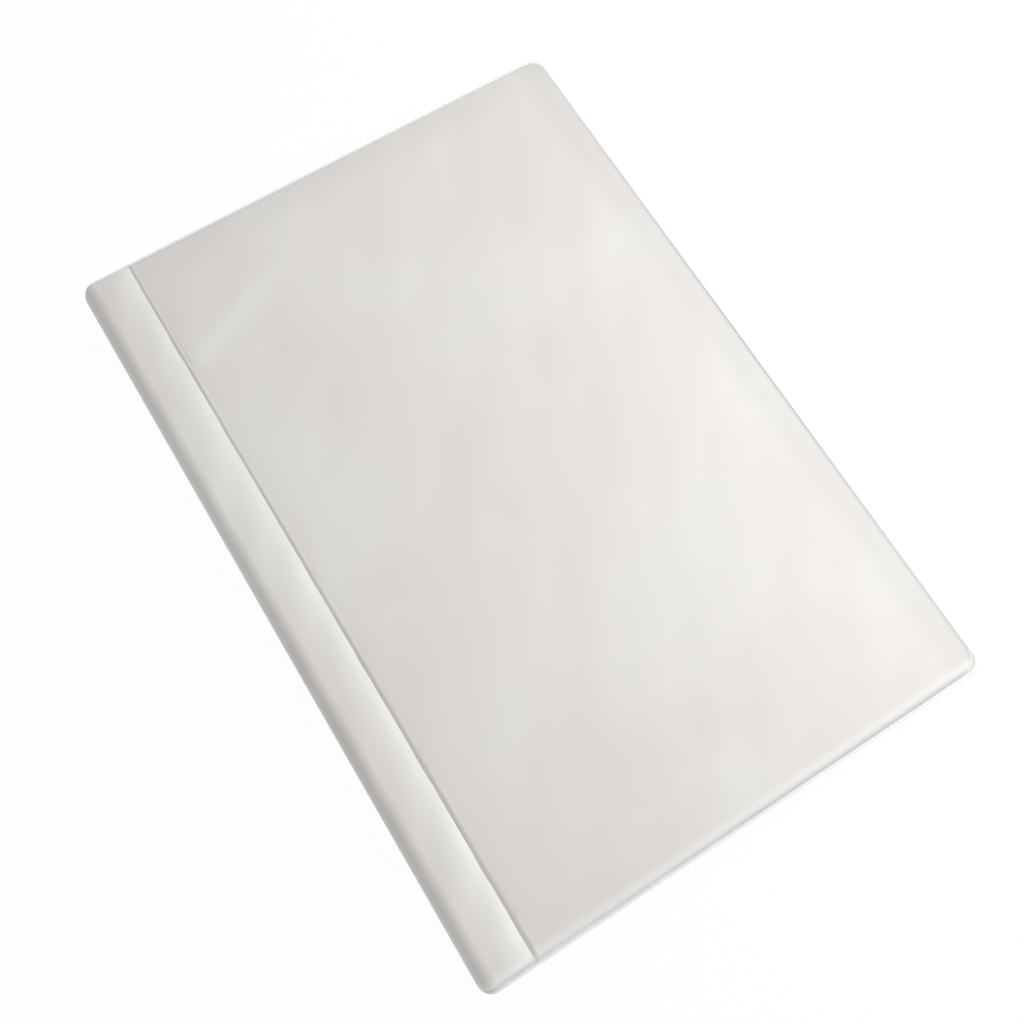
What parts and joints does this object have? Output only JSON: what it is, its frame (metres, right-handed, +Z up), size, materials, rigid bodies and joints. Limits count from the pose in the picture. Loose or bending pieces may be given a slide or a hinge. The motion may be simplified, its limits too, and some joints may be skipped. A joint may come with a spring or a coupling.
{
  "type": "document wallet",
  "caption": "Closed book-style document wallet in milky padded vinyl, with a rounded spine strip, welded hinge grooves and rims, and a clear pocket inside each cover.",
  "frame": {"origin": "middle of the closed wallet's footprint, on the face that it rests on", "axes": "+Y along the spine towards the top edge, +X from the spine to the fore-edge, +Z up out of the front cover"},
  "size_m": [0.154, 0.22, 0.0122],
  "materials": {
    "outer_vinyl": "satin",
    "welded_vinyl": "satin",
    "lining_vinyl": "satin",
    "pocket_vinyl": "gloss",
    "foam": "matte",
    "board": "matte"
  },
  "bodies": {
    "rear_cover": {"rear_rim_weld": "welded_vinyl", "rear_liner_sheet": "lining_vinyl", "rear_pocket_sheet": "pocket_vinyl", "rear_board": "board", "rear_foam_pad": "foam", "rear_outer_sheet": "outer_vinyl"},
    "rear_spine": {"rear_hinge_weld": "welded_vinyl", "rear_spine_end_welds": "welded_vinyl", "rear_spine_liner": "lining_vinyl", "rear_spine_pad": "foam", "rear_spine_sheet": "outer_vinyl"},
    "front_spine": {"front_hinge_weld": "welded_vinyl", "front_spine_end_welds": "welded_vinyl", "front_spine_liner": "lining_vinyl", "front_spine_pad": "foam", "front_spine_sheet": "outer_vinyl"},
    "front_cover": {"front_rim_weld": "welded_vinyl", "front_liner_sheet": "lining_vinyl", "front_pocket_sheet": "pocket_vinyl", "front_board": "board", "front_foam_pad": "foam", "front_outer_sheet": "outer_vinyl"}
  },
  "joints": [
    {"name": "rear_groove_hinge", "type": "hinge", "parent": "rear_cover", "child": "rear_spine", "pos_m": [-0.0614, 0, 0.0032], "axis": [0, -1, 0], "range_deg": [0, 45]},
    {"name": "spine_fold", "type": "hinge", "parent": "rear_spine", "child": "front_spine", "pos_m": [-0.07715, 0, 0.0062], "axis": [0, -1, 0], "range_deg": [0, 181.71]},
    {"name": "front_groove_hinge", "type": "hinge", "parent": "front_spine", "child": "front_cover", "pos_m": [-0.06132, 0, 0.00873], "axis": [0, -1, 0], "range_deg": [0, 45]}
  ]
}
